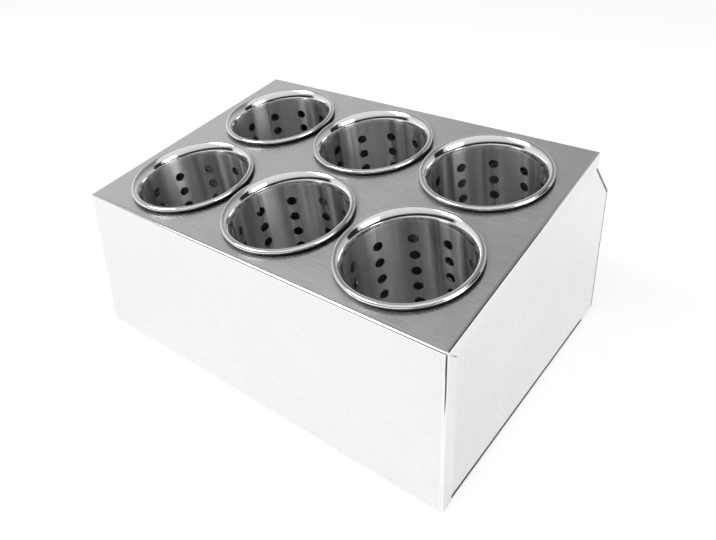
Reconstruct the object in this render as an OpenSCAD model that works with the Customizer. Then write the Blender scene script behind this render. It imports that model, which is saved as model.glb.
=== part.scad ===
// Countertop cutlery holder. A folded stainless steel housing with a deck that slopes
// up to the rear carries six perforated round cups, three across and two deep, which
// hang by their rolled rims and lift out.
//
// Millimetres. +Z is up, the front panel faces -Y, X runs along the front.
// The origin is on the table, at the middle of the housing's width and depth.

/* [Housing] */
// Width of the housing, over its side flanges
body_w = 420; // [415:1:460]
// Depth of the housing, from the front panel to the rear wall
body_d = 328; // [320:1:350]
// Height of the deck's front edge above the table
front_h = 157; // [154:1:185]
// Slope of the deck
deck_tilt = 9.9; // [7:0.1:12]
// Length of the deck up the slope
deck_len = 285.5; // [282:0.5:292]
// Height of the rear wall's upright part above the table
rear_h = 147; // [130:1:155]

/* [Sheet] */
// Thickness of the housing's sheet
sheet_t = 1; // [0.8:0.1:1.4]
// Outer radius of the housing's folds
fold_r = 2.5; // [2:0.1:3.5]
// Width of the flanges that the front and the deck turn over the side panels
side_flange = 15; // [13:0.5:20]
// Depth of the lip that the deck turns down at its rear edge
rear_lip = 13; // [11:0.5:18]
// Width of the flanges turned in at the bottom of the front and the back
foot_flange = 24; // [22:0.5:30]
// Width of the flange turned in at the bottom of each side panel
side_foot_flange = 20; // [14:0.5:26]
// Width of the flanges that each side panel turns in behind the back panel
rear_flange = 15; // [12:0.5:20]
// Clearance of the back panel's tongue under the deck's rear fold
tongue_gap = 1.5; // [1:0.1:3]
// Open seam where two flanges meet at a mitre
seam = 0.5; // [0.3:0.1:1]
// Clearance of a sheet's edge from the sheet that it is welded into
edge_gap = 0.3; // [0.2:0.1:0.6]
// Setback of the side panel's bottom flange from the front panel
foot_cut_front = 17; // [12:1:26]
// Setback of the side panel's bottom flange from the rear wall
foot_cut_rear = 30; // [20:1:40]

/* [Cups] */
// Distance between cups across the housing
pitch_x = 131; // [129:0.5:134]
// Distance between the two rows of cups up the slope
pitch_y = 134.5; // [130:0.5:138]
// Distance from the deck's front edge up to the front row
row_y = 72.5; // [70:0.5:76]
// Inner radius of a cup's wall
cup_r = 53.2; // [50:0.1:53.6]
// Thickness of a cup's wall
cup_t = 0.8; // [0.6:0.1:1]
// Depth of a cup below the deck
cup_depth = 135; // [125:1:142]
// Radius of the flare under a cup's rim
flare_r = 17; // [12:0.5:18]
// Turn of the flare before the rolled rim begins
flare_turn = 45; // [40:1:50]
// Outer radius of the rolled rim's tube
rim_r = 2.75; // [2.4:0.05:3]
// Turn of the rolled rim from the flare round to its free edge
rim_turn = 285; // [250:5:290]
// Clearance between a rim and the deck
rim_gap = 0.3; // [0.2:0.05:0.5]
// Clearance round a cup's wall in its deck hole
hole_gap = 3; // [2.6:0.1:3.4]

/* [Perforation] */
// Radius of the wall's round holes
wall_hole_r = 5; // [4:0.1:6]
// Holes round the wall in a row
wall_columns = 10; // [8:2:12]
// Rows of holes
wall_rows = 6; // [4:1:6]
// Depth of the first row's centres below the deck
first_row = 24.8; // [20:0.2:26]
// Distance between rows
row_pitch = 19.1; // [14:0.1:19.5]
// Radius of the holes in a cup's base
base_hole_r = 4; // [3:0.1:4.5]
// Spacing of the rings of holes in the base
base_ring = 17; // [14:0.5:20]
// Height of the turned-up edge of a base
base_edge = 5; // [4:0.5:7]
// Clearance between a cup's wall and the base's edge round it
base_gap = 0.15; // [0.1:0.05:0.3]

/* [Feet] */
// Radius of a rubber pad
pad_r = 9; // [6:0.5:9.5]
// Thickness of a rubber pad
pad_t = 2; // [1.5:0.1:4]
// Distance of a pad's centre from the housing's side
pad_x = 36; // [32:1:60]
// Distance of a pad's centre from the front or the rear
pad_y = 13.5; // [13:0.5:14]

/* [Hidden] */

e = 0.01;                        // small overshoot of a cut
steel = [0.72, 0.73, 0.74];
cup_steel = [0.80, 0.81, 0.82];
rubber = [0.12, 0.12, 0.12];

half_w = body_w / 2;
flat_w = half_w - fold_r;        // half the width between the side folds
y_front = -body_d / 2;
y_rear = body_d / 2;
z_foot = pad_t;                  // underside of the folded housing
z_side = z_foot + sheet_t;       // the side panels rest on the front's bottom flange
x_side = half_w - sheet_t;       // outer face of a side panel, under the flanges
ca = cos(deck_tilt);
sa = sin(deck_tilt);

// Corners of the housing's outer faces in the Y-Z plane
front_low = [y_front, z_foot];
front_top = [y_front, front_h];
peak = [y_front + deck_len * ca, front_h + deck_len * sa];
lip_low = peak - [0, rear_lip];
rear_top = [y_rear, rear_h];
// The sloping part of the rear starts at the inner face of the deck's rear lip
slope_top = lip_low - [sheet_t, 0];
slope_dir = unit(rear_top, slope_top);
slope_lean = atan2(-slope_dir[0], slope_dir[1]);

// Cups: centreline of the flare and of the rolled rim above it
cup_mid = cup_r + cup_t / 2;
rim_mid = rim_r - cup_t / 2;
rim_z = rim_gap + rim_r;
rim_x = cup_mid + flare_r - (flare_r - rim_mid) * cos(flare_turn);
flare_z = rim_z - (flare_r - rim_mid) * sin(flare_turn);
deck_hole_r = cup_r + cup_t + hole_gap;
// Turn of each cup about its own axis
cup_turn = [0.6, 33.7, 2.2, 18.3, 24.6, 12.2];
// Angle of one step round a fold
fold_step = 15;

// ---- folded sheet ----
function unit(a, b) = (b - a) / norm(b - a);
function left(v) = [-v[1], v[0]];
function turn_at(p, i) = let(u = unit(p[i - 1], p[i]), v = unit(p[i], p[i + 1]))
    atan2(u[0] * v[1] - u[1] * v[0], u[0] * v[0] + u[1] * v[1]);
// Radius of the path's own face at a fold, which is outside or inside of the bend
function face_r(p, i, s) = turn_at(p, i) * s > 0 ? fold_r : fold_r - sheet_t;
// Distance from a corner of the path to where its fold begins
function trim(p, i, s) = face_r(p, i, s) * tan(abs(turn_at(p, i)) / 2);

// Points round the fold at corner i, on the path's own face (far = 0) or on the
// sheet's other face (far = 1)
function fold_points(p, i, s, far) = let(
        t = turn_at(p, i),
        u = unit(p[i - 1], p[i]),
        d = left(u) * (t > 0 ? -1 : 1),
        c = p[i] - u * trim(p, i, s) - d * face_r(p, i, s),
        r = far ? 2 * fold_r - sheet_t - face_r(p, i, s) : face_r(p, i, s),
        a = atan2(d[1], d[0]),
        n = max(2, ceil(abs(t) / fold_step)))
    [for (j = [0 : n]) c + r * [cos(a + t * j / n), sin(a + t * j / n)]];

// One face of a sheet folded along the points p
function face_points(p, s, far) = let(
        m = len(p) - 1,
        w0 = left(unit(p[0], p[1])) * s * sheet_t * far,
        w1 = left(unit(p[m - 1], p[m])) * s * sheet_t * far)
    concat([p[0] + w0], [for (i = [1 : m - 1]) each fold_points(p, i, s, far)], [p[m] + w1]);

// Cross-section of a sheet whose one face follows the points p. The sheet lies to the
// left of the path where s is 1, and to the right of it where s is -1.
module folded(p, s) {
    near = face_points(p, s, 0);
    other = face_points(p, s, 1);
    polygon(concat(near, [for (i = [len(other) - 1 : -1 : 0]) other[i]]));
}

// Extrudes a Y-Z profile along X
module along_x(x0, x1) {
    translate([x0, 0, 0]) rotate([90, 0, 90]) linear_extrude(x1 - x0) children();
}

// The part of the Y-Z plane on one side of a mitre through p, between directions u and v
module mitre_side(p, u, v, side) {
    m = unit([0, 0], u + v);
    reach = body_d + deck_len;
    translate(p) rotate(atan2(m[1], m[0]))
        translate([-2 * fold_r, side > 0 ? seam / 2 : -reach - seam / 2]) square([reach, reach]);
}

// Deck's own frame: the origin is on its front edge and Y runs up the slope
module on_deck() {
    translate([0, y_front, front_h]) rotate([deck_tilt, 0, 0]) children();
}

// ---- deck and front panel, one sheet ----
module deck_and_front() {
    down = [0, -1];
    up_slope = [ca, sa];
    color(steel) difference() {
        union() {
            // bottom flange, front panel, deck and rear lip
            along_x(-flat_w, flat_w)
                folded([front_low + [foot_flange, 0], front_low, front_top, peak, lip_low], -1);
            // flanges over the side panels, mitred at the front's top corner
            intersection() {
                on_deck() translate([0, deck_len + 5, 0]) rotate([90, 0, 0])
                    linear_extrude(deck_len + 10) side_flanges();
                along_x(-half_w - 1, half_w + 1) intersection() {
                    mitre_side(front_top, down, up_slope, 1);
                    rounded_outline();
                }
            }
            intersection() {
                translate([0, y_front, z_foot]) linear_extrude(front_h) mirror([0, 1]) side_flanges();
                along_x(-half_w - 1, half_w + 1) intersection() {
                    mitre_side(front_top, down, up_slope, -1);
                    rounded_outline();
                }
            }
        }
        for (i = [0 : 5]) at_cup(i) translate([0, 0, -3 * sheet_t])
            cylinder(r = deck_hole_r, h = 5 * sheet_t, $fn = 96);
    }
}

// Section of the two side flanges and their folds, below a panel whose outer face is y = 0
module side_flanges() {
    difference() {
        folded([[-half_w, -side_flange], [-half_w, 0], [half_w, 0], [half_w, -side_flange]], -1);
        translate([sheet_t - flat_w, -side_flange])
            square([2 * (flat_w - sheet_t), side_flange + sheet_t]);
    }
}

// Filled outline that rounds the flanges at the front's top edge and ends them upright
// at the rear
module rounded_outline() {
    polygon(concat(face_points([front_low, front_top, peak], -1, 0), [[peak[0], z_foot]]));
}

// ---- side panels ----
// k is 1 on the right and -1 on the left
module side_panel(k) {
    color(steel) mirror([k < 0 ? 1 : 0, 0, 0]) {
        along_x(x_side - sheet_t, x_side) side_flat();
        // flange at the bottom
        translate([0, y_rear - foot_cut_rear, 0]) rotate([90, 0, 0])
            linear_extrude(body_d - foot_cut_front - foot_cut_rear)
                folded([[x_side, z_side + 2 * fold_r], [x_side, z_side],
                        [x_side - side_foot_flange, z_side]], -1);
        // flanges behind the upright and the sloping part of the rear, mitred
        intersection() {
            translate([0, y_rear, z_side]) linear_extrude(rear_h) rear_flange_section();
            along_x(0, half_w) mitre_side(rear_top, [0, -1], slope_dir, 1);
        }
        intersection() {
            translate([0, y_rear, rear_h]) rotate([slope_lean, 0, 0]) translate([0, 0, -10])
                linear_extrude(norm(slope_top - rear_top) + 20) rear_flange_section();
            along_x(0, half_w) intersection() {
                mitre_side(rear_top, [0, -1], slope_dir, -1);
                translate([slope_top[0] + edge_gap, 0]) square([body_d, peak[1]]);
            }
        }
    }
}

module rear_flange_section() {
    folded([[x_side, -2 * fold_r], [x_side, 0], [x_side - rear_flange, 0]], 1);
}

// Flat of a side panel, set back from its folds and from the folds of the sheet over it
module side_flat() {
    inset = fold_r + edge_gap;
    y_end = peak[0] - edge_gap;
    slope_z = slope_top[1] + (y_end - slope_top[0]) * slope_dir[1] / slope_dir[0];
    difference() {
        polygon([
            [y_front + inset, z_side],
            [y_front + inset, front_h + inset * (sa - 1) / ca],
            [y_end, front_h + ((y_end - y_front) * sa - inset) / ca],
            [y_end, slope_z], rear_top, [y_rear, z_side]]);
        translate([y_rear - fold_r, 0]) square([2 * fold_r, rear_h + 50]);
        translate(rear_top) rotate(90 + slope_lean) translate([-20, -2 * fold_r])
            square([norm(slope_top - rear_top) + 20, 3 * fold_r]);
        translate([y_front + foot_cut_front, 0])
            square([body_d - foot_cut_front - foot_cut_rear, z_side + fold_r]);
    }
}

// ---- back panel ----
module back_panel() {
    y_up = y_rear - sheet_t;
    y_tongue = slope_top[0];
    nz = -slope_dir[0];
    ny = slope_dir[1];
    z_bend = rear_h - sheet_t * (1 - ny) / nz;
    z_tongue = rear_h - (sheet_t + ny * (y_tongue - y_rear)) / nz;
    z_end = peak[1] - fold_r * tan((90 + deck_tilt) / 2) - tongue_gap;
    color(steel) along_x(-flat_w + sheet_t + edge_gap, flat_w - sheet_t - edge_gap)
        folded([[y_up - foot_flange, z_foot], [y_up, z_foot], [y_up, z_bend],
                [y_tongue, z_tongue], [y_tongue, z_end]], 1);
}

// ---- rubber feet ----
module foot(kx, ky) {
    color(rubber) translate([kx * (half_w - pad_x), ky * (body_d / 2 - pad_y), 0])
        cylinder(r = pad_r, h = pad_t, $fn = 48);
}

// ---- cups ----
// Numbered from left to right, the rear row 1 to 3 and the front row 4 to 6
module at_cup(i) {
    on_deck() translate([(i % 3 - 1) * pitch_x, row_y + (i < 3 ? pitch_y : 0), 0]) children();
}

// Ring sector in the plane of a revolved profile, from angle a0 to a1
module arc_band(c, r, a0, a1) {
    steps = 8;
    reach = r + 3 * cup_t;
    intersection() {
        translate(c) difference() {
            circle(r = r + cup_t / 2, $fn = 72);
            circle(r = r - cup_t / 2, $fn = 72);
        }
        polygon(concat([c], [for (j = [0 : steps]) let(a = a0 + (a1 - a0) * j / steps)
            c + reach / cos((a1 - a0) / steps / 2) * [cos(a), sin(a)]]));
    }
}

// Perforated wall that flares out into a rolled rim
module cup_wall(i) {
    color(cup_steel) at_cup(i) difference() {
        rotate_extrude($fn = 96) {
            translate([cup_r, -cup_depth]) square([cup_t, cup_depth + flare_z]);
            arc_band([cup_mid + flare_r, flare_z], flare_r, 180, 180 - flare_turn);
            arc_band([rim_x, rim_z], rim_mid, 180 - flare_turn, 180 - flare_turn - rim_turn);
        }
        for (row = [0 : wall_rows - 1], col = [0 : wall_columns - 1])
            rotate(cup_turn[i] + col * 360 / wall_columns)
                translate([cup_r - 2, 0, -first_row - row * row_pitch]) rotate([0, 90, 0])
                    cylinder(r = wall_hole_r, h = cup_t + 4, $fn = 32);
    }
}

// Perforated base with a turned-up edge inside the wall
module cup_base(i) {
    r_edge = cup_r + cup_t + base_gap;
    color(cup_steel) at_cup(i) translate([0, 0, -cup_depth]) difference() {
        union() {
            translate([0, 0, -cup_t]) cylinder(r = r_edge + cup_t, h = cup_t, $fn = 96);
            difference() {
                cylinder(r = r_edge + cup_t, h = base_edge, $fn = 96);
                translate([0, 0, -e]) cylinder(r = r_edge, h = base_edge + 2 * e, $fn = 96);
            }
        }
        for (ring = [0 : 2], j = [0 : max(0, 6 * ring - 1)])
            rotate(cup_turn[i] + j * 60 / max(1, ring)) translate([ring * base_ring, 0, -cup_t - e])
                cylinder(r = base_hole_r, h = cup_t + 2 * e, $fn = 24);
    }
}

deck_and_front();
side_panel(-1);  // side_panel_left
side_panel(1);  // side_panel_right
back_panel();
foot(-1, -1);  // foot_front_left
foot(1, -1);  // foot_front_right
foot(-1, 1);  // foot_rear_left
foot(1, 1);  // foot_rear_right
cup_wall(0);  // cup_1_wall
cup_wall(1);  // cup_2_wall
cup_wall(2);  // cup_3_wall
cup_wall(3);  // cup_4_wall
cup_wall(4);  // cup_5_wall
cup_wall(5);  // cup_6_wall
cup_base(0);  // cup_1_base
cup_base(1);  // cup_2_base
cup_base(2);  // cup_3_base
cup_base(3);  // cup_4_base
cup_base(4);  // cup_5_base
cup_base(5);  // cup_6_base
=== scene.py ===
import bpy
import bmesh
from math import atan2, cos, pi, radians, sin, tan
from mathutils import Matrix, Vector


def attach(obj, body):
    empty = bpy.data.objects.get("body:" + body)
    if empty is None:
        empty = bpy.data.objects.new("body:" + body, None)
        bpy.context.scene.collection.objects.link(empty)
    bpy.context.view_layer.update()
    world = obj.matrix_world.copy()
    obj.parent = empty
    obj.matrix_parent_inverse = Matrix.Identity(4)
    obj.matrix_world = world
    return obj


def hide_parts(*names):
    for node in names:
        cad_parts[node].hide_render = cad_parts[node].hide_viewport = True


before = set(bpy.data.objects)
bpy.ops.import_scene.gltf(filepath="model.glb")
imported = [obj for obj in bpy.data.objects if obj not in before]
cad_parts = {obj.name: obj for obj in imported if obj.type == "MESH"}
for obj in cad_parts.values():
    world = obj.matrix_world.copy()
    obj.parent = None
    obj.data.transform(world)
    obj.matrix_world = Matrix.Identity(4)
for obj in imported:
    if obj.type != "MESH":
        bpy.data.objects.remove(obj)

bl_info = {
    "name": "Countertop Cutlery Holder",
    "version": (1, 0, 0),
    "blender": (4, 5, 0),
    "location": "View3D > Sidebar > Cutlery Holder",
    "description": "Models and dresses a folded steel cutlery holder with six perforated cups",
    "category": "Add Mesh",
}

MM = 0.001
# Two points nearer than this are one, in metres
TOLERANCE = 2e-5
# Faces that meet at a smaller angle than this are shaded as one
SMOOTH_ANGLE = radians(32)
# Facets round a fold of the sheet, round a cup's flare and round its rolled rim
FOLD_FACETS, FLARE_FACETS, RIM_FACETS = 6, 8, 20
# Material slots of a folded sheet, after the sheet's own slot 0
FOLD, EDGE, REAR_FOLD_SHADE = 1, 2, 3
# Material slots of a cup's wall
TUBE, RIM, PAINTED_RIM_SHADE = 0, 1, 2
# The span that a noise texture mostly keeps to
NOISE_SPAN = {"From Min": 0.3, "From Max": 0.7}


# ---------------------------------------------------------------------------
# Sizes and colours
# ---------------------------------------------------------------------------
def srgb(code):
    """An sRGB hex colour as linear RGBA."""
    out = []
    for i in (0, 2, 4):
        c = int(code[i:i + 2], 16) / 255
        out.append(c / 12.92 if c <= 0.04045 else ((c + 0.055) / 1.055) ** 2.4)
    return (*out, 1.0)


def length(name, description, default):
    return bpy.props.FloatProperty(name=name, description=description, default=default,
                                   unit='LENGTH')


def angle(name, description, degrees):
    return bpy.props.FloatProperty(name=name, description=description, default=radians(degrees),
                                   subtype='ANGLE')


def count(name, description, default):
    return bpy.props.IntProperty(name=name, description=description, default=default)


def colour(name, description, code):
    return bpy.props.FloatVectorProperty(name=name, description=description, default=srgb(code),
                                         size=4, min=0.0, max=1.0, subtype='COLOR')


class HousingSettings(bpy.types.PropertyGroup):
    """Sizes of the folded housing"""
    width: length("Width", "Width of the housing over its side flanges", 0.420)
    depth: length("Depth", "Depth from the front panel to the rear wall", 0.328)
    front_height: length("Front height", "Height of the deck's front edge above the table", 0.157)
    deck_tilt: angle("Deck slope", "Slope of the deck up to the rear", 9.9)
    deck_length: length("Deck length", "Length of the deck up the slope", 0.2855)
    rear_height: length("Rear height", "Height of the upright part of the rear wall", 0.147)
    sheet: length("Sheet", "Thickness of the steel sheet", 0.001)
    fold_radius: length("Fold radius", "Outer radius of the folds", 0.0025)
    rear_fold: length("Rear fold radius", "Outer radius of the side panels' rear folds", 0.0035)
    # Width of the painted shade strip beside the side panels' rear folds
    rear_shade_width: length("Weld land", "Width ground beside the side panels' rear folds", 0.0020)
    side_flange: length("Side flange", "Width of the flanges turned over the side panels", 0.015)
    rear_lip: length("Rear lip", "Depth of the lip turned down at the deck's rear", 0.013)
    foot_flange: length("Foot flange", "Width of the bottom flanges of front and back", 0.024)
    side_foot_flange: length("Side foot flange", "Width of the bottom flange of a side panel",
                             0.020)
    rear_flange: length("Rear flange", "Width of the side panels' flanges behind the back panel",
                        0.015)
    edge_gap: length("Edge gap", "Clearance of a sheet's edge from the sheet it is welded into",
                     0.0003)
    seam: length("Seam", "Open seam where two flanges meet at a mitre", 0.0010)
    cut_front: length("Front cut-back", "Setback of the side's bottom flange from the front", 0.017)
    cut_rear: length("Rear cut-back", "Setback of the side's bottom flange from the rear", 0.030)
    tongue_gap: length("Tongue gap", "Clearance of the back panel's tongue under the deck", 0.0015)
    pad_radius: length("Pad radius", "Radius of a rubber pad", 0.009)
    pad_height: length("Pad thickness", "Thickness of a rubber pad", 0.002)
    pad_x: length("Pad from side", "Distance of a pad's centre from the side", 0.036)
    pad_y: length("Pad from front", "Distance of a pad's centre from front or rear", 0.0135)


class CupSettings(bpy.types.PropertyGroup):
    """Sizes of the perforated cups"""
    pitch_x: length("Pitch across", "Distance between cups across the housing", 0.131)
    pitch_y: length("Pitch of the rows", "Distance between the rows up the slope", 0.1345)
    first_row: length("First row", "Distance from the front edge up to the front row", 0.0725)
    radius: length("Inner radius", "Inner radius of the wall", 0.0532)
    wall: length("Wall", "Thickness of the wall", 0.0008)
    depth: length("Depth", "Depth of a cup below the deck", 0.135)
    flare_radius: length("Flare radius", "Radius of the flare under the rim", 0.017)
    flare_turn: angle("Flare turn", "Turn of the flare before the rolled rim", 45)
    rim_radius: length("Rim radius", "Outer radius of the rolled rim's tube", 0.00275)
    rim_turn: angle("Rim turn", "Turn of the rolled rim to its free edge", 285)
    rim_gap: length("Rim gap", "Clearance between a rim and the deck", 0.0003)
    hole_gap: length("Hole gap", "Clearance round a cup in its deck hole", 0.003)
    hole_radius: length("Wall hole radius", "Radius of the round holes in the wall", 0.005)
    columns: count("Columns", "Holes round the wall in a row", 10)
    rows: count("Rows", "Rows of holes", 6)
    row_start: length("First hole row", "Depth of the first row's centres below the deck", 0.0248)
    row_pitch: length("Row pitch", "Distance between rows of holes", 0.0191)
    base_hole_radius: length("Base hole radius", "Radius of the holes in the base", 0.004)
    base_ring: length("Base ring", "Spacing of the rings of holes in the base", 0.017)
    base_edge: length("Base edge", "Height of the base's turned-up edge", 0.005)
    base_gap: length("Base gap", "Clearance between the wall and the base's edge round it", 0.00015)
    segments: count("Segments", "Segments round a cup", 200)


class FinishSettings(bpy.types.PropertyGroup):
    """Colours of the finishes"""
    sheet: colour("Sheet", "Ground stainless sheet and its folds", "E2E3E4")
    # Colour of the painted shade along the side panels' rear folds
    edge: colour("Edges", "Sheared edges of the sheet", "8C8D8E")
    weld: colour("Weld", "Ground weld along the side panels' rear folds", "404142")
    cup: colour("Cup", "Drawn wall of a cup", "E8E9EA")
    rim: colour("Rim", "Polished flare and rim of a cup", "DEDFE0")
    # The dark rim underside is painted shade under the rolled rim
    roll: colour("Rim underside", "Unpolished underside of a rolled rim", "2C2D2E")
    base: colour("Base", "Satin base of a cup", "C4C5C6")
    pad: colour("Pads", "Rubber of the pads", "1E1E1E")


# How far each cup is turned about its own axis, in degrees. Cups 1 to 3 are the rear row.
CUP_TURN = (0.6, 33.7, 2.2, 18.3, 24.6, 12.2)
CUPS_ACROSS = 3


def housing():
    return bpy.context.scene.holder_housing


def cup_sizes():
    return bpy.context.scene.holder_cup


def finishes():
    return bpy.context.scene.holder_finish


# ---------------------------------------------------------------------------
# Helpers
# ---------------------------------------------------------------------------
def deselect():
    if bpy.context.object and bpy.context.object.mode != 'OBJECT':
        bpy.ops.object.mode_set(mode='OBJECT')
    bpy.ops.object.select_all(action='DESELECT')


def only(obj):
    """Make one object the active and the only selected one."""
    deselect()
    obj.select_set(True)
    bpy.context.view_layer.objects.active = obj


def start_plane(name, corners):
    """Add a plane primitive and move its four corners to their places."""
    deselect()
    bpy.ops.mesh.primitive_plane_add(size=1)
    obj = bpy.context.object
    obj.name = obj.data.name = name
    # a plane's vertices run row by row, and the corners run round it
    for v, co in zip((0, 1, 3, 2), corners):
        obj.data.vertices[v].co = co
    return obj


def start_cylinder(sides, radius, depth, place=(0, 0, 0), turn=(0, 0, 0)):
    """Add a cylinder primitive that has its place in its mesh."""
    deselect()
    bpy.ops.mesh.primitive_cylinder_add(vertices=sides, radius=radius, depth=depth,
                                        location=place, rotation=turn)
    obj = bpy.context.object
    settle(obj)
    return obj


def settle(obj):
    """Apply the place, so that the piece lies in its mesh."""
    only(obj)
    bpy.ops.object.transform_apply(location=True, rotation=True, scale=True)


def edit(obj, mode='VERT'):
    """Open a mesh in edit mode with nothing selected."""
    only(obj)
    bpy.ops.object.mode_set(mode='EDIT')
    bpy.ops.mesh.select_mode(type=mode)
    bpy.ops.mesh.select_all(action='DESELECT')
    bm = bmesh.from_edit_mesh(obj.data)
    for seq in (bm.verts, bm.edges, bm.faces):
        seq.ensure_lookup_table()
    return bm


def pick(obj, mode, test):
    """Select the edges or the faces that pass a test."""
    bm = edit(obj, mode)
    for item in (bm.edges if mode == 'EDGE' else bm.faces):
        item.select = test(item)
    bmesh.update_edit_mesh(obj.data)


def along(edge, a, b):
    """Whether an edge lies on the straight line from a to b."""
    a, b = Vector(a), Vector(b)
    d = (b - a).normalized()
    for v in edge.verts:
        k = (v.co - a).dot(d)
        past = k < -TOLERANCE or k > (b - a).length + TOLERANCE
        if past or (v.co - a - d * k).length > TOLERANCE:
            return False
    return True


def pick_edge(obj, *pairs):
    """Select the edges that run along the given lines."""
    bm = edit(obj, 'EDGE')
    for a, b in pairs:
        found = [e for e in bm.edges if along(e, a, b)]
        if not found:
            raise RuntimeError("no edge from %s to %s on %s" % (tuple(a), tuple(b), obj.name))
        for e in found:
            e.select = True
    bmesh.update_edit_mesh(obj.data)


def pull_edge(obj, a, b, move):
    """Extrude the edge from a to b along move."""
    pick_edge(obj, (a, b))
    bpy.ops.mesh.extrude_edges_move(TRANSFORM_OT_translate={"value": tuple(move)})
    bpy.ops.object.mode_set(mode='OBJECT')


def shift_vert(obj, a, to):
    """Move the vertex at a to a new place."""
    bm = edit(obj)
    found = [v for v in bm.verts if (v.co - a).length < TOLERANCE]
    if len(found) != 1:
        raise RuntimeError("vertex not found: %s on %s" % (tuple(a), obj.name))
    found[0].select = True
    bmesh.update_edit_mesh(obj.data)
    bpy.ops.transform.translate(value=tuple(to - a))
    bpy.ops.object.mode_set(mode='OBJECT')


def round_folds(obj, pairs, radius, slot=FOLD):
    """Bevel the edges along the given lines, by a fold's radius."""
    pick_edge(obj, *pairs)
    bpy.ops.mesh.bevel(offset_type='OFFSET', offset=radius, segments=FOLD_FACETS, profile=0.5,
                       clamp_overlap=False, material=slot)
    bpy.ops.object.mode_set(mode='OBJECT')


def add_modifier(obj, kind, **settings):
    """Add a modifier and apply it."""
    only(obj)
    bpy.ops.object.modifier_add(type=kind)
    mod = obj.modifiers[-1]
    for key, value in settings.items():
        setattr(mod, key, value)
    bpy.ops.object.modifier_apply(modifier=mod.name)


def outward(obj):
    """Turn all faces to the outside."""
    edit(obj, 'FACE')
    bpy.ops.mesh.select_all(action='SELECT')
    bpy.ops.mesh.normals_make_consistent(inside=False)
    bpy.ops.object.mode_set(mode='OBJECT')


def thicken(obj):
    """Give a folded surface the sheet's thickness on its inside."""
    outward(obj)
    add_modifier(obj, 'SOLIDIFY', thickness=housing().sheet, offset=-1.0, use_even_offset=True,
                 material_offset_rim=EDGE)


def join(objs, name):
    """Join objects into one."""
    deselect()
    for o in objs:
        o.select_set(True)
    bpy.context.view_layer.objects.active = objs[0]
    bpy.ops.object.join()
    obj = bpy.context.object
    obj.name = obj.data.name = name
    return obj


def cut_with(obj, cutter):
    """Cut one object with another and delete the cutter."""
    add_modifier(obj, 'BOOLEAN', operation='DIFFERENCE', solver='EXACT', object=cutter)
    drop(cutter)


def smooth(obj):
    """Smooth shading that is sharp at folds and cut edges."""
    only(obj)
    bpy.ops.object.shade_smooth_by_angle(angle=SMOOTH_ANGLE)


def soften(obj):
    """Smooth shading that keeps the flat faces flat."""
    smooth(obj)
    add_modifier(obj, 'WEIGHTED_NORMAL', keep_sharp=True)


def drop(obj):
    """Delete an object and its mesh."""
    data = obj.data
    bpy.data.objects.remove(obj)
    bpy.data.meshes.remove(data)


def copy_as(source, name, matrix):
    """Copy an object with its own mesh, moved by a matrix."""
    obj = source.copy()
    obj.data = source.data.copy()
    bpy.context.collection.objects.link(obj)
    obj.name = obj.data.name = name
    obj.data.transform(matrix)
    return obj


def dress(obj, *materials):
    """Give an object its materials, in the order of its slots."""
    obj.data.materials.clear()
    for m in materials:
        obj.data.materials.append(m)


def finish_piece(obj, body, slot, *nodes):
    """Put a piece on its body, in the place of its nodes. Its slot is not used."""
    settle(obj)
    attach(obj, body)
    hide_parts(*nodes)


# ---------------------------------------------------------------------------
# Materials
# ---------------------------------------------------------------------------
def add_node(tree, kind, settings=None, links=None, **attributes):
    """Add a node, set its attributes and input values, and link its inputs."""
    node = tree.nodes.new(kind)
    for key, value in attributes.items():
        setattr(node, key, value)
    for key, value in (settings or {}).items():
        node.inputs[key].default_value = value
    for key, socket in (links or {}).items():
        tree.links.new(socket, node.inputs[key])
    return node


def new_material(name):
    mat = bpy.data.materials.new(name)
    mat.use_nodes = True
    mat.node_tree.nodes.clear()
    return mat, mat.node_tree


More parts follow.
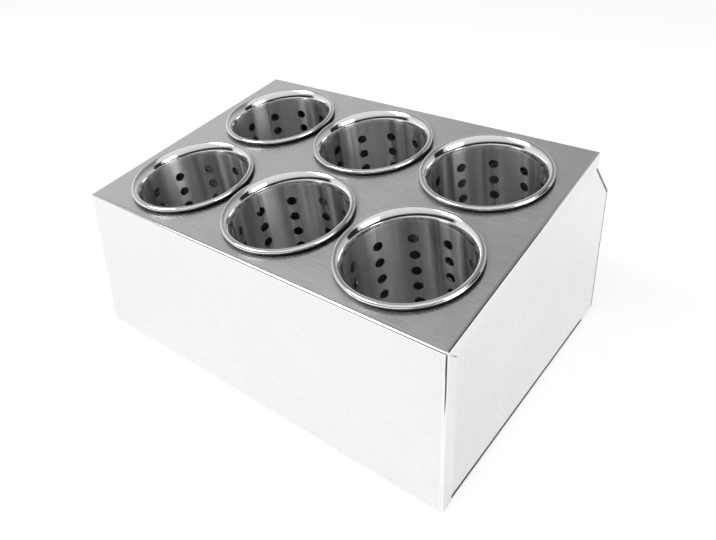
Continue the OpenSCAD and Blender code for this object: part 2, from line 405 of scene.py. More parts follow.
def brushed_steel(name, tint, depth, rough, spread, run, turn, lines_mm, stretch, bump,
                  axis=False):
    """Stainless steel with lines, darkened to depth between them. The lines lie along x, turned
    by turn. A reflection spreads across run, as lines along run make it, or along run where axis
    is true, as lines that go round it make it."""
    mat, tree = new_material(name)
    coords = add_node(tree, 'ShaderNodeTexCoord')
    # one line is about lines_mm wide and stretch times as long
    wide = lines_mm * MM
    lay = add_node(tree, 'ShaderNodeMapping', {"Rotation": turn,
                   "Scale": (wide * stretch, wide, wide)}, {"Vector": coords.outputs["Object"]},
                   vector_type='TEXTURE')
    lines = add_node(tree, 'ShaderNodeTexNoise', {"Scale": 1.0, "Detail": 2.0, "Roughness": 0.6},
                     {"Vector": lay.outputs["Vector"]})
    # handling marks about 71 mm across, which shift the roughness a little
    haze = add_node(tree, 'ShaderNodeTexNoise', {"Scale": 1 / (71.43 * MM), "Detail": 3.0,
                    "Roughness": 0.55}, {"Vector": coords.outputs["Object"]})
    level = add_node(tree, 'ShaderNodeMapRange', {**NOISE_SPAN, "To Min": rough - spread,
                     "To Max": rough + spread}, {"Value": lines.outputs["Fac"]})
    cloud = add_node(tree, 'ShaderNodeMapRange', {**NOISE_SPAN, "To Min": -0.02,
                     "To Max": 0.03}, {"Value": haze.outputs["Fac"]})
    total = add_node(tree, 'ShaderNodeMath', None, {0: level.outputs["Result"],
                     1: cloud.outputs["Result"]}, operation='ADD')
    dark = tuple(c * depth for c in tint[:3]) + (1.0,)
    shade = add_node(tree, 'ShaderNodeMix', {"A": dark, "B": tuple(tint)},
                     {"Factor": lines.outputs["Fac"]}, data_type='RGBA')
    # lines 0.02 mm deep
    grain = add_node(tree, 'ShaderNodeBump', {"Strength": bump, "Distance": 0.02 * MM},
                     {"Height": lines.outputs["Fac"]})
    face = add_node(tree, 'ShaderNodeNewGeometry')
    tangent = add_node(tree, 'ShaderNodeVectorMath', {1: run},
                       {0: face.outputs["Normal"]}, operation='CROSS_PRODUCT')
    if axis:
        tangent = add_node(tree, 'ShaderNodeVectorMath', None,
                           {0: tangent.outputs["Vector"], 1: face.outputs["Normal"]},
                           operation='CROSS_PRODUCT')
    surface = add_node(tree, 'ShaderNodeBsdfPrincipled', {"Metallic": 1.0, "Anisotropic": 0.85},
                       {"Base Color": shade.outputs["Result"], "Roughness": total.outputs["Value"],
                        "Normal": grain.outputs["Normal"], "Tangent": tangent.outputs["Vector"]})
    add_node(tree, 'ShaderNodeOutputMaterial', None, {"Surface": surface.outputs["BSDF"]})
    return mat


def smooth_steel(name, tint, rough):
    """Stainless steel without lines, with faint wipe marks in its roughness."""
    mat, tree = new_material(name)
    coords = add_node(tree, 'ShaderNodeTexCoord')
    # wipe marks about 11 mm across
    wipe = add_node(tree, 'ShaderNodeTexNoise', {"Scale": 1 / (11.11 * MM), "Detail": 3.0,
                    "Roughness": 0.5}, {"Vector": coords.outputs["Object"]})
    level = add_node(tree, 'ShaderNodeMapRange', {**NOISE_SPAN, "To Min": rough * 0.7,
                     "To Max": rough * 1.5}, {"Value": wipe.outputs["Fac"]})
    surface = add_node(tree, 'ShaderNodeBsdfPrincipled',
                       {"Base Color": tuple(tint), "Metallic": 1.0},
                       {"Roughness": level.outputs["Result"]})
    add_node(tree, 'ShaderNodeOutputMaterial', None, {"Surface": surface.outputs["BSDF"]})
    return mat


def pad_rubber(name, tint):
    """Moulded rubber with a fine grain: dull black that shows only broad highlights."""
    mat, tree = new_material(name)
    coords = add_node(tree, 'ShaderNodeTexCoord')
    # grain about 0.4 mm across and 0.05 mm deep
    grain = add_node(tree, 'ShaderNodeTexNoise', {"Scale": 1 / (0.4 * MM), "Detail": 2.0},
                     {"Vector": coords.outputs["Object"]})
    level = add_node(tree, 'ShaderNodeMapRange', {"To Min": 0.7, "To Max": 0.9},
                     {"Value": grain.outputs["Fac"]})
    skin = add_node(tree, 'ShaderNodeBump', {"Strength": 0.3, "Distance": 0.05 * MM},
                    {"Height": grain.outputs["Fac"]})
    surface = add_node(tree, 'ShaderNodeBsdfPrincipled', {"Base Color": tuple(tint)},
                       {"Roughness": level.outputs["Result"], "Normal": skin.outputs["Normal"]})
    add_node(tree, 'ShaderNodeOutputMaterial', None, {"Surface": surface.outputs["BSDF"]})
    return mat


MATERIALS = {}


def material(key):
    """The object's finishes, made once."""
    if not MATERIALS:
        paint, tilt = finishes(), housing().deck_tilt
        # Stainless sheet ground with a medium belt across the width. Real lines are some
        # 0.1 mm wide, and are drawn at 0.5 mm so that they show.
        MATERIALS["sheet"] = brushed_steel(
            "brushed_stainless_sheet", paint.sheet, depth=0.93, rough=0.27, spread=0.04,
            run=(1, 0, 0), turn=(0, 0, 0), lines_mm=0.5, stretch=60, bump=0.2)
        # The same sheet ground along the side panels' depth
        MATERIALS["side"] = brushed_steel(
            "brushed_stainless_side", paint.sheet, depth=0.93, rough=0.27, spread=0.04,
            run=(0, 1, 0), turn=(0, 0, pi / 2), lines_mm=0.5, stretch=60, bump=0.2)
        # Sheet drawn smooth over the bending die: nearly a mirror
        MATERIALS["fold"] = smooth_steel("drawn_stainless_fold", paint.sheet, rough=0.09)
        # Sheared edges of the sheet, torn and dull
        MATERIALS["edge"] = smooth_steel("sheared_stainless_edge", paint.edge, rough=0.4)
        # A dark dull strip along the side panels' rear folds: painted shade that draws their rear
        # outline as a dark line
        MATERIALS["weld"] = smooth_steel("painted_shade_rear_fold", paint.weld, rough=0.3)
        # Drawn stainless tube: streaks down the wall, painted darker and lighter in its colour, are
        # a painted reflection;
        # and a reflection that fine lathe lines round the wall spread up and down it
        MATERIALS["cup"] = brushed_steel(
            "stainless_cup_painted_streaks", paint.cup, depth=0.62, rough=0.33, spread=0.12,
            run=(0, -sin(tilt), cos(tilt)), turn=(0, tilt - pi / 2, -pi / 2), lines_mm=11.0,
            stretch=80, bump=0.05, axis=True)
        # Rims buffed on a wheel: nearly a mirror
        MATERIALS["rim"] = smooth_steel("polished_stainless_rim", paint.rim, rough=0.09)
        # The rolled rim's outer underside, painted dark and dull: painted shade under the rim
        MATERIALS["roll"] = smooth_steel("painted_shade_rim_underside", paint.roll, rough=0.35)
        # Pressed bases with a satin grain across, its lines drawn at 0.6 mm so that they show
        MATERIALS["base"] = brushed_steel(
            "satin_stainless_base", paint.base, depth=0.9, rough=0.26, spread=0.04,
            run=(1, 0, 0), turn=(0, 0, 0), lines_mm=0.6, stretch=30, bump=0.2)
        # Moulded rubber pads: dull black
        MATERIALS["pad"] = pad_rubber("black_pad_rubber", paint.pad)
    return MATERIALS[key]


# ---------------------------------------------------------------------------
# Places
# ---------------------------------------------------------------------------
class Layout:
    """Places that several pieces share, in metres. x runs to the right and y to the rear."""

    def __init__(self):
        h = housing()
        self.half_width = h.width / 2
        self.front_y, self.rear_y = -h.depth / 2, h.depth / 2
        # the bottom flanges' undersides, on the pads
        self.foot_z = h.pad_height
        # up the deck, and out of it
        self.slope = Vector((0, cos(h.deck_tilt), sin(h.deck_tilt)))
        self.normal = Vector((0, -sin(h.deck_tilt), cos(h.deck_tilt)))
        # the deck's front and rear edges
        self.front_top = Vector((0, self.front_y, h.front_height))
        self.peak = self.front_top + self.slope * h.deck_length
        # the rear wall's knee and the top of its sloping part, then up that part and out of it
        self.knee = Vector((0, self.rear_y, h.rear_height))
        self.slope_top = self.peak - Vector((0, h.sheet, h.rear_lip))
        self.rear_slope = (self.slope_top - self.knee).normalized()
        self.rear_normal = Vector((0, self.rear_slope.z, -self.rear_slope.y))
        # half the angle at the deck's front edge, and the mitre from there to the flanges' tips
        self.half_corner = (pi / 2 + h.deck_tilt) / 2
        self.mitre = (Vector((0, 0, -1)) + self.slope).normalized()
        self.mitre_length = h.side_flange / sin(self.half_corner)
        # the side panels' outer faces, under the flanges, and their feet, on the bottom flanges
        self.side_x = self.half_width - h.sheet
        self.side_z = self.foot_z + h.sheet

    def at(self, p, x):
        """The point p, moved across to x."""
        return Vector((x, p.y, p.z))

    def cup_matrix(self, i):
        """From a cup that stands upright at the origin to its place in the deck."""
        c = cup_sizes()
        x = (i % CUPS_ACROSS - 1) * c.pitch_x
        y = c.first_row + (c.pitch_y if i < CUPS_ACROSS else 0)
        return (Matrix.Translation(self.front_top)
                @ Matrix.Rotation(housing().deck_tilt, 4, 'X')
                @ Matrix.Translation((x, y, 0)) @ Matrix.Rotation(radians(CUP_TURN[i]), 4, 'Z'))


# ---------------------------------------------------------------------------
# Housing
# ---------------------------------------------------------------------------
class HOLDER_OT_deck(bpy.types.Operator):
    """Fold the deck and the front panel from one sheet and cut the cup holes"""
    bl_idname = "holder.deck_and_front"
    bl_label = "Deck and Front"

    def execute(self, context):
        h, c, lay = housing(), cup_sizes(), Layout()
        low = Vector((0, lay.front_y, lay.foot_z))
        # left and right ends of the deck's front edge, its rear edge and the front's foot
        fl, fr = lay.at(lay.front_top, -lay.half_width), lay.at(lay.front_top, lay.half_width)
        rl, rr = lay.at(lay.peak, -lay.half_width), lay.at(lay.peak, lay.half_width)
        ll, lr = lay.at(low, -lay.half_width), lay.at(low, lay.half_width)
        obj = start_plane("deck_and_front_sheet", (fl, fr, rr, rl))
        dress(obj, material("sheet"), material("fold"), material("edge"))
        toe = Vector((0, h.foot_flange, 0))
        pull_edge(obj, fl, fr, low - lay.front_top)
        pull_edge(obj, ll, lr, toe)
        pull_edge(obj, rl, rr, (0, 0, -h.rear_lip))
        # the side flanges meet in an open mitre at the front's top corners
        down = -lay.normal * h.side_flange
        back = Vector((0, h.side_flange, 0))
        across = Vector((0, lay.mitre.z, -lay.mitre.y)) * h.seam / 2
        for front, rear, foot in ((fl, rl, ll), (fr, rr, lr)):
            tip = front + lay.mitre * lay.mitre_length
            pull_edge(obj, front, rear, down)
            shift_vert(obj, front + down, tip - across)
            # the deck's flange ends upright at the rear
            shift_vert(obj, rear + down,
                       rear - Vector((0, 0, h.side_flange / cos(h.deck_tilt))))
            pull_edge(obj, front, foot, back)
            shift_vert(obj, front + back, tip + across)
        # the bottom flange stops short of the side panels
        inset = Vector((h.fold_radius, 0, 0))
        shift_vert(obj, ll + toe, ll + toe + inset)
        shift_vert(obj, lr + toe, lr + toe - inset)
        round_folds(obj, [(fl, fr), (ll, lr), (rl, rr), (fl, rl), (fr, rr), (fl, ll), (fr, lr)],
                    h.fold_radius)
        thicken(obj)
        cutters = []
        for i in range(len(CUP_TURN)):
            cutter = start_cylinder(sides=128, radius=c.radius + c.wall + c.hole_gap, depth=12 * MM)
            cutter.data.transform(lay.cup_matrix(i))
            cutters.append(cutter)
        cut_with(obj, join(cutters, "hole_cutters"))
        soften(obj)
        finish_piece(obj, "housing", "housing_steel", "deck_and_front")
        return {'FINISHED'}


class HOLDER_OT_sides(bpy.types.Operator):
    """Fold the two side panels"""
    bl_idname = "holder.side_panels"
    bl_label = "Side Panels"

    def blank(self, name, x):
        """The flat sheet, with edges where it is folded and where its finish changes."""
        h, lay = housing(), Layout()
        front, rear, foot, top = lay.front_y + self.inset, lay.rear_y, lay.side_z, lay.peak.z
        obj = start_plane(name, ((x, front, foot), (x, rear, foot), (x, rear, top),
                                 (x, front, top)))
        dress(obj, material("side"), material("fold"), material("edge"), material("weld"))
        # the deck's slope, the rear slope, the rear lip, the ends of the bottom flange, and the
        # painted shade strips beside the two rear folds
        cuts = ((lay.front_top - lay.normal * self.inset, lay.normal, True),
                (lay.knee, lay.rear_normal, False),
                ((0, self.lip_y, 0), (0, 1, 0), False),
                ((0, lay.front_y + h.cut_front, 0), (0, 1, 0), False),
                ((0, lay.rear_y - h.cut_rear, 0), (0, 1, 0), False),
                ((0, lay.rear_y - self.land, 0), (0, 1, 0), False),
                (lay.knee - lay.rear_normal * self.land, lay.rear_normal, False))
        for place, normal, clear in cuts:
            edit(obj, 'FACE')
            bpy.ops.mesh.select_all(action='SELECT')
            bpy.ops.mesh.bisect(plane_co=place, plane_no=normal, clear_outer=clear)
            bpy.ops.object.mode_set(mode='OBJECT')

        def behind(face):
            mid = face.calc_center_median()
            return mid.y > self.lip_y and (mid - lay.knee).dot(lay.rear_normal) > 0

        pick(obj, 'FACE', behind)
        bpy.ops.mesh.delete(type='FACE')
        bpy.ops.object.mode_set(mode='OBJECT')
        return obj

    def fold(self, obj, k, x):
        """Turn the bottom and the two rear flanges inwards and round their folds."""
        h, lay = housing(), Layout()
        inward = Vector((-k, 0, 0))
        turned = inward * h.rear_flange
        front = Vector((x, lay.front_y + h.cut_front, lay.side_z))
        rear = Vector((x, lay.rear_y - h.cut_rear, lay.side_z))
        pull_edge(obj, front, rear, inward * h.side_foot_flange)
        foot = Vector((x, lay.rear_y, lay.side_z))
        knee = lay.at(lay.knee, x)
        crest = knee + lay.rear_slope * ((lay.rear_y - self.lip_y) / -lay.rear_slope.y)
        # an open seam stays between the rear flanges, at the knee
        gap = h.seam / 2
        pull_edge(obj, foot, knee, turned)
        shift_vert(obj, knee + turned, knee + turned - Vector((0, 0, gap)))
        pull_edge(obj, knee, crest, turned)
        shift_vert(obj, knee + turned, knee + turned + lay.rear_slope * gap)
        round_folds(obj, [(front, rear)], h.fold_radius)
        # the rear folds carry the painted shade too
        round_folds(obj, [(foot, knee), (knee, crest)], h.rear_fold, slot=REAR_FOLD_SHADE)
        # the painted shade strip runs on flat beside the rear folds
        for poly in obj.data.polygons:
            mid = poly.center
            beside = (mid.y > lay.rear_y - self.land
                      or (mid - lay.knee).dot(lay.rear_normal) > -self.land)
            if abs(poly.normal.x) > 0.9 and beside:
                poly.material_index = REAR_FOLD_SHADE

    def relieve(self, obj, x):
        """Cut a slot under the open mitre of the deck's and the front's flanges."""
        lay = Layout()
        deselect()
        bpy.ops.mesh.primitive_cube_add(size=1)
        slot = bpy.context.object
        long = lay.mitre_length - 2 * self.inset
        place = lay.at(lay.front_top + lay.mitre * (2 * self.inset + long / 2), x)
        slot.data.transform(Matrix.Translation(place)
                            @ Matrix.Rotation(atan2(lay.mitre.z, lay.mitre.y), 4, 'X')
                            @ Matrix.Diagonal((6 * MM, long, housing().seam, 1)))
        cut_with(obj, slot)

    def execute(self, context):
        h, lay = housing(), Layout()
        # how far the panel stays inside the front and the deck, where it ends at the rear lip,
        # and how wide the painted shade strip is with its fold
        self.inset = h.fold_radius + h.edge_gap
        self.lip_y = lay.peak.y - h.edge_gap
        self.land = h.rear_fold + h.rear_shade_width
        for k, name in ((-1, "left"), (1, "right")):
            x = k * lay.side_x
            obj = self.blank("side_panel_%s_sheet" % name, x)
            self.fold(obj, k, x)
            thicken(obj)
            self.relieve(obj, x)
            soften(obj)
            finish_piece(obj, "housing", "housing_steel", "side_panel_" + name)
        return {'FINISHED'}


class HOLDER_OT_back(bpy.types.Operator):
    """Fold the back panel, its sloping upper part and its foot"""
    bl_idname = "holder.back_panel"
    bl_label = "Back Panel"

    def execute(self, context):
        h, lay = housing(), Layout()
        half = lay.side_x - h.sheet - h.edge_gap
        # its outer face runs one thickness inside the side panels' rear flanges
        y = lay.rear_y - h.sheet
        ny, nz = lay.rear_normal.y, lay.rear_normal.z
        z_bend = h.rear_height - h.sheet * (1 - ny) / nz
        y_up = lay.slope_top.y
        z_up = h.rear_height - (h.sheet + ny * (y_up - lay.rear_y)) / nz
        z_end = lay.peak.z - h.fold_radius * tan(lay.half_corner) - h.tongue_gap
        path = [(y - h.foot_flange, lay.foot_z), (y, lay.foot_z), (y, z_bend), (y_up, z_up),
                (y_up, z_end)]
        obj = start_plane("back_panel_sheet", (
            (-half, *path[0]), (half, *path[0]), (half, *path[1]), (-half, *path[1])))
        dress(obj, material("sheet"), material("fold"), material("edge"))
        for a, b in zip(path[1:], path[2:]):
            pull_edge(obj, (-half, *a), (half, *a), (0, b[0] - a[0], b[1] - a[1]))
        round_folds(obj, [((-half, *p), (half, *p)) for p in path[1:4]], h.fold_radius)
        thicken(obj)
        soften(obj)
        finish_piece(obj, "housing", "housing_steel", "back_panel")
        return {'FINISHED'}


class HOLDER_OT_feet(bpy.types.Operator):
    """Stick four round rubber pads under the housing"""
    bl_idname = "holder.feet"
    bl_label = "Rubber Pads"

    def execute(self, context):
        h, lay = housing(), Layout()
        pad = start_cylinder(sides=48, radius=h.pad_radius, depth=h.pad_height,
                             place=(0, 0, h.pad_height / 2))
        # round the edges of both faces
        pick(pad, 'EDGE', lambda e: abs(e.verts[0].co.z - e.verts[1].co.z) < TOLERANCE)
        bpy.ops.mesh.bevel(offset=0.4 * MM, segments=3)
        bpy.ops.object.mode_set(mode='OBJECT')
        smooth(pad)
        dress(pad, material("pad"))
        for ky, end in ((-1, "front"), (1, "rear")):
            for kx, side in ((-1, "left"), (1, "right")):
                foot = copy_as(pad, "pad_%s_%s" % (end, side), Matrix.Translation((
                    kx * (lay.half_width - h.pad_x), ky * (lay.rear_y - h.pad_y), 0)))
                finish_piece(foot, "housing", "rubber", "foot_%s_%s" % (end, side))
        drop(pad)
        return {'FINISHED'}


# ---------------------------------------------------------------------------
# Cups
# ---------------------------------------------------------------------------
class HOLDER_OT_cups(bpy.types.Operator):
    """Raise a perforated cup from a ring, with a flare and a rolled rim, and copy it six times"""
    bl_idname = "holder.cups"
    bl_label = "Cups"

    def wall(self):
        c = cup_sizes()
        # the profile runs along the sheet's middle: up the tube, out along the flare and round
        # the rolled rim
        mid = c.radius + c.wall / 2
        tube = c.rim_radius - c.wall / 2
        rim_z = c.rim_gap + c.rim_radius
        rim_x = mid + c.flare_radius - (c.flare_radius - tube) * cos(c.flare_turn)
        flare_z = rim_z - (c.flare_radius - tube) * sin(c.flare_turn)
        profile = [(mid, -c.depth), (mid, flare_z)]
        for k in range(1, FLARE_FACETS + 1):
            a = c.flare_turn * k / FLARE_FACETS
            profile.append((mid + c.flare_radius * (1 - cos(a)), flare_z + c.flare_radius * sin(a)))
        for k in range(1, RIM_FACETS + 1):
            a = pi - c.flare_turn - c.rim_turn * k / RIM_FACETS
            profile.append((rim_x + tube * cos(a), rim_z + tube * sin(a)))
        deselect()
        bpy.ops.mesh.primitive_circle_add(vertices=c.segments, radius=profile[0][0],
                                          location=(0, 0, profile[0][1]))
        obj = bpy.context.object
        obj.name = obj.data.name = "cup_wall"
        settle(obj)
        edit(obj, 'EDGE')
        bpy.ops.mesh.select_all(action='SELECT')
        for (r0, z0), (r1, z1) in zip(profile, profile[1:]):
            bpy.ops.mesh.extrude_edges_move(TRANSFORM_OT_translate={"value": (0, 0, z1 - z0)})
            bpy.ops.transform.resize(value=(r1 / r0, r1 / r0, 1), center_override=(0, 0, z1))
        bpy.ops.object.mode_set(mode='OBJECT')
        outward(obj)
        add_modifier(obj, 'SOLIDIFY', thickness=c.wall, offset=0.0, use_even_offset=True)
        punches = []
        for row in range(c.rows):
            for column in range(c.columns):
                punch = start_cylinder(sides=40, radius=c.hole_radius, depth=6 * MM,
                                       place=(mid, 0, -c.row_start - row * c.row_pitch),
                                       turn=(0, pi / 2, 0))
                punch.data.transform(Matrix.Rotation(2 * pi * column / c.columns, 4, 'Z'))
                punches.append(punch)
        cut_with(obj, join(punches, "wall_punches"))
        return obj

    def base(self):
        c = cup_sizes()
        outer = c.radius + 2 * c.wall + c.base_gap
        obj = start_cylinder(sides=128, radius=outer, depth=c.wall + c.base_edge,
                             place=(0, 0, (c.base_edge - c.wall) / 2 - c.depth))
        obj.name = obj.data.name = "cup_base"
        # hollow the dish from above
        pick(obj, 'FACE', lambda f: f.normal.z > 0.9)
        bpy.ops.mesh.inset(thickness=c.wall)
        bpy.ops.mesh.extrude_region_move(TRANSFORM_OT_translate={"value": (0, 0, -c.base_edge)})
        # round the dish's lower edge
        low = -c.depth - c.wall
        pick(obj, 'EDGE', lambda e: all(
            abs(v.co.z - low) < TOLERANCE and v.co.xy.length > outer - TOLERANCE
            for v in e.verts))
        bpy.ops.mesh.bevel(offset=1.2 * MM, segments=4)
        bpy.ops.object.mode_set(mode='OBJECT')
        # drain holes, one in the middle and two rings of 6 and 12 round it
        punches = []
        for ring in range(3):
            for k in range(max(1, 6 * ring)):
                punch = start_cylinder(sides=32, radius=c.base_hole_radius, depth=10 * MM,
                                       place=(0, 0, -c.depth))
                punch.data.transform(Matrix.Rotation(radians(60) * k / max(1, ring), 4, 'Z')
                                     @ Matrix.Translation((ring * c.base_ring, 0, 0)))
                punches.append(punch)
        cut_with(obj, join(punches, "base_punches"))
        return obj

    def dress_wall(self, wall):
        """Buff the flare and the rolled rim, and paint the rim's outer underside dark as painted
        shade under the rim.
        """
        c = cup_sizes()
        dress(wall, material("cup"), material("rim"), material("roll"))
        # the wheel reaches 4 mm below the deck
        buffed_z = -4 * MM
        rim_z = c.rim_gap + c.rim_radius
        rim_x = c.radius + c.flare_radius * (1 - cos(c.flare_turn))
        for poly in wall.data.polygons:
            # faces on the rim's outer underside get the painted shade
            under = poly.center.z < rim_z and poly.center.xy.length > rim_x
            buffed = poly.center.z > buffed_z
            poly.material_index = (PAINTED_RIM_SHADE if under else RIM) if buffed else TUBE

    def execute(self, context):
        lay = Layout()
        wall, base = self.wall(), self.base()
        smooth(wall)
        smooth(base)
        self.dress_wall(wall)
        dress(base, material("base"))
        for i in range(len(CUP_TURN)):
            for source, part in ((wall, "wall"), (base, "base")):
                obj = copy_as(source, "cup_%d_%s_pressed" % (i + 1, part), lay.cup_matrix(i))
                finish_piece(obj, "cup_%d" % (i + 1), "cup_steel", "cup_%d_%s" % (i + 1, part))
        drop(wall)
        drop(base)
        return {'FINISHED'}


# ---------------------------------------------------------------------------
# Stage
# ---------------------------------------------------------------------------
# How much the white floor is lifted where it is seen directly and where it is reflected
FLOOR_SEEN, FLOOR_REFLECTED = 0.485, 0.575
# The room's levels by the height of a direction: 0 is level and 1 is straight up
REAR_LEVELS = ((0.0, 1.0), (0.2, 0.95), (0.5, 0.62), (0.70, 0.34), (0.85, 0.34), (1.0, 0.8))
FRONT_LEVELS = ((0.0, 0.02), (0.2, 0.02), (0.32, 0.8), (0.7, 0.95), (1.0, 1.0))
# The level direction from the object towards the camera, where the room's front half is
TO_CAMERA = (0.62, -0.78, 0)
# Dark boards, each with its corners and its level
BOARDS = (
    # on the floor beside the camera: draws the front's upright fold as a dark line
    ("camera_side_board", ((0.24, -0.30, 0.001), (1.6, -1.9, 0.001), (2.0, -1.0, 0.001),
                           (0.34, -0.16, 0.001)), 0.12),
    # up on the right: draws the deck's right fold as a dark line
    ("upper_right_board", ((2.1, 0.75, 0.17), (1.6, 1.5, 0.17), (1.6, 1.5, 1.5),
                           (2.1, 0.75, 1.9)), 0.02),
)
# Lamps: name, place, what they aim at, size in metres and power in watts
LAMPS = (
    ("front_left_softbox", (-1.0, -1.2, 1.5), (0, 0, 0.05), (1.0, 1.0), 17),
    ("right_softbox", (1.7, -0.1, 0.9), (0, 0, 0.1), (0.9, 0.6), 8),
)
# The camera, as fitted to the housing's corners and the rims: metres, radians and millimetres
CAMERA_PLACE = (0.39112, -0.49316, 0.47064)
CAMERA_TURN = (1.149665, 0.025843, 0.655029)
CAMERA_SENSOR, CAMERA_LENS = 36, 34.5204
CAMERA_SHIFT = (0.008495, -0.155406)


class HOLDER_OT_stage(bpy.types.Operator):
    """Set the floor, the surroundings, the lamps and the camera"""
    bl_idname = "holder.stage"
    bl_label = "Stage"

    def floor(self):
        """A white floor that keeps the object's shadow."""
        deselect()
        bpy.ops.mesh.primitive_plane_add(size=30)
        floor = bpy.context.object
        floor.name = floor.data.name = "white_floor"
        mat, tree = new_material("white_studio_floor")
        path = add_node(tree, 'ShaderNodeLightPath')
        seen = add_node(tree, 'ShaderNodeMath', None, {0: path.outputs["Is Camera Ray"],
                        1: path.outputs["Is Transmission Ray"]}, operation='MAXIMUM')
        direct = add_node(tree, 'ShaderNodeMath', {1: FLOOR_SEEN}, {0: seen.outputs["Value"]},
                          operation='MULTIPLY')
        lift = add_node(tree, 'ShaderNodeMath', {1: FLOOR_REFLECTED},
                        {0: path.outputs["Is Glossy Ray"], 2: direct.outputs["Value"]},
                        operation='MULTIPLY_ADD')
        glow = add_node(tree, 'ShaderNodeEmission', None, {"Strength": lift.outputs["Value"]})
        matte = add_node(tree, 'ShaderNodeBsdfDiffuse', {"Color": srgb("D2D2D2")})
        both = add_node(tree, 'ShaderNodeAddShader', None, {0: matte.outputs["BSDF"],
                        1: glow.outputs["Emission"]})
        add_node(tree, 'ShaderNodeOutputMaterial', None, {"Surface": both.outputs["Shader"]})
        dress(floor, mat)

    def shade(self):
        """Patches on the floor under the housing, which is out of the light: one as long as the
        side panels' bottom flanges, and one from there to the back panel's foot."""
        h, lay = housing(), Layout()
        mat, tree = new_material("shaded_floor")
        matte = add_node(tree, 'ShaderNodeBsdfDiffuse', {"Color": srgb("6E6E6E")})
        add_node(tree, 'ShaderNodeOutputMaterial', None, {"Surface": matte.outputs["BSDF"]})
        height = 0.2 * MM
        middle, half = lay.rear_y - h.cut_rear, lay.half_width - 25 * MM
        for name, left, right, front, rear in (
                ("floor_under_housing", 10 * MM - lay.half_width, lay.side_x - 0.5 * MM,
                 lay.front_y + h.cut_front, middle),
                ("floor_under_rear", -half, half, middle, lay.rear_y - h.foot_flange / 2)):
            under = start_plane(name, ((left, front, height), (right, front, height),
                                       (right, rear, height), (left, rear, height)))
            dress(under, mat)

    def board(self, name, corners, level):
        """A flat board that only reflections see."""
        obj = start_plane(name, corners)
        mat, tree = new_material(name + "_paint")
        glow = add_node(tree, 'ShaderNodeEmission', {"Color": (level, level, level, 1),
                        "Strength": 1.0})
        add_node(tree, 'ShaderNodeOutputMaterial', None, {"Surface": glow.outputs["Emission"]})
        dress(obj, mat)
        obj.visible_camera = obj.visible_shadow = obj.visible_diffuse = False

    def surroundings(self):
        """The rear half of the room is white at the horizon, grey higher up and paler overhead.
        The front half has a dark band at the horizon under a white ceiling. Where it is seen
        directly, the room is pure white."""
        world = bpy.data.worlds.new("studio")
        bpy.context.scene.world = world
        world.use_nodes = True
        tree = world.node_tree
        tree.nodes.clear()
        coords = add_node(tree, 'ShaderNodeTexCoord')
        split = add_node(tree, 'ShaderNodeSeparateXYZ', None,
                         {"Vector": coords.outputs["Generated"]})
        ramps = []
        for stops in (REAR_LEVELS, FRONT_LEVELS):
            ramp = add_node(tree, 'ShaderNodeValToRGB', None, {"Fac": split.outputs["Z"]})
            while len(ramp.color_ramp.elements) < len(stops):
                ramp.color_ramp.elements.new(0.5)
            for stop, (place, level) in zip(ramp.color_ramp.elements, stops):
                stop.position = place
                stop.color = (level, level, level, 1)
            ramps.append(ramp)
        # the two halves blend over a narrow band
        side = add_node(tree, 'ShaderNodeVectorMath', {1: TO_CAMERA},
                        {0: coords.outputs["Generated"]}, operation='DOT_PRODUCT')
        in_front = add_node(tree, 'ShaderNodeMapRange', {"From Min": 0.02, "From Max": 0.14},
                            {"Value": side.outputs["Value"]})
        # the left of the room is the brighter
        left = add_node(tree, 'ShaderNodeMapRange', {"From Min": -0.65, "From Max": -0.3,
                        "To Min": 1.08, "To Max": 0.82}, {"Value": split.outputs["X"]})
        rear = add_node(tree, 'ShaderNodeBackground', None, {"Color": ramps[0].outputs["Color"],
                        "Strength": left.outputs["Result"]})
        front = add_node(tree, 'ShaderNodeBackground', None,
                         {"Color": ramps[1].outputs["Color"]})
        room = add_node(tree, 'ShaderNodeMixShader', None, {0: in_front.outputs["Result"],
                        1: rear.outputs["Background"], 2: front.outputs["Background"]})
        white = add_node(tree, 'ShaderNodeBackground', {"Color": (1, 1, 1, 1), "Strength": 1.0})
        path = add_node(tree, 'ShaderNodeLightPath')
        either = add_node(tree, 'ShaderNodeMixShader', None, {0: path.outputs["Is Camera Ray"],
                          1: room.outputs["Shader"], 2: white.outputs["Background"]})
        add_node(tree, 'ShaderNodeOutputWorld', None, {"Surface": either.outputs["Shader"]})

    def lamp(self, name, place, target, size, power):
        deselect()
        bpy.ops.object.light_add(type='AREA', location=place)
        lamp = bpy.context.object
        lamp.name = lamp.data.name = name
        lamp.data.shape = 'RECTANGLE'
        lamp.data.size, lamp.data.size_y = size
        lamp.data.energy = power
        look = Vector(target) - Vector(place)
        lamp.rotation_euler = look.to_track_quat('-Z', 'Y').to_euler()

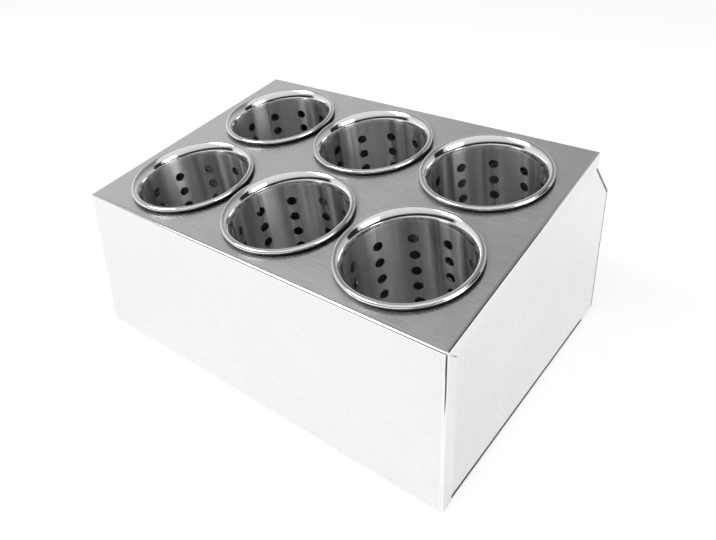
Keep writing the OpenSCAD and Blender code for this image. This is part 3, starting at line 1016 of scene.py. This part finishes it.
    def camera(self):
        deselect()
        bpy.ops.object.camera_add(location=CAMERA_PLACE, rotation=CAMERA_TURN)
        camera = bpy.context.object
        camera.name = camera.data.name = "main_camera"
        camera.data.sensor_width = CAMERA_SENSOR
        camera.data.lens = CAMERA_LENS
        camera.data.shift_x, camera.data.shift_y = CAMERA_SHIFT
        bpy.context.scene.camera = camera

    def execute(self, context):
        self.floor()
        self.shade()
        self.surroundings()
        for board in BOARDS:
            self.board(*board)
        for lamp in LAMPS:
            self.lamp(*lamp)
        self.camera()
        bpy.context.scene.view_settings.view_transform = 'Standard'
        return {'FINISHED'}


class HOLDER_PT_panel(bpy.types.Panel):
    """Lists the builder's steps, sizes and colours"""
    bl_idname = "HOLDER_PT_panel"
    bl_label = "Cutlery Holder"
    bl_space_type = 'VIEW_3D'
    bl_region_type = 'UI'
    bl_category = "Cutlery Holder"

    def draw(self, context):
        for step in STEPS:
            self.layout.operator("holder." + step)
        for title, settings in (("Housing", housing()), ("Cups", cup_sizes()),
                                ("Finishes", finishes())):
            box = self.layout.box()
            box.label(text=title)
            for key in type(settings).__annotations__:
                box.prop(settings, key)


STEPS = ("deck_and_front", "side_panels", "back_panel", "feet", "cups", "stage")
CLASSES = (HousingSettings, CupSettings, FinishSettings, HOLDER_OT_deck, HOLDER_OT_sides,
           HOLDER_OT_back, HOLDER_OT_feet, HOLDER_OT_cups, HOLDER_OT_stage, HOLDER_PT_panel)


def register():
    for cls in CLASSES:
        bpy.utils.register_class(cls)
    bpy.types.Scene.holder_housing = bpy.props.PointerProperty(type=HousingSettings)
    bpy.types.Scene.holder_cup = bpy.props.PointerProperty(type=CupSettings)
    bpy.types.Scene.holder_finish = bpy.props.PointerProperty(type=FinishSettings)


def unregister():
    del bpy.types.Scene.holder_finish
    del bpy.types.Scene.holder_cup
    del bpy.types.Scene.holder_housing
    for cls in reversed(CLASSES):
        bpy.utils.unregister_class(cls)


def main():
    register()
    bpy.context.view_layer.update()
    for step in STEPS:
        getattr(bpy.ops.holder, step)()


if __name__ == "__main__":
    main()
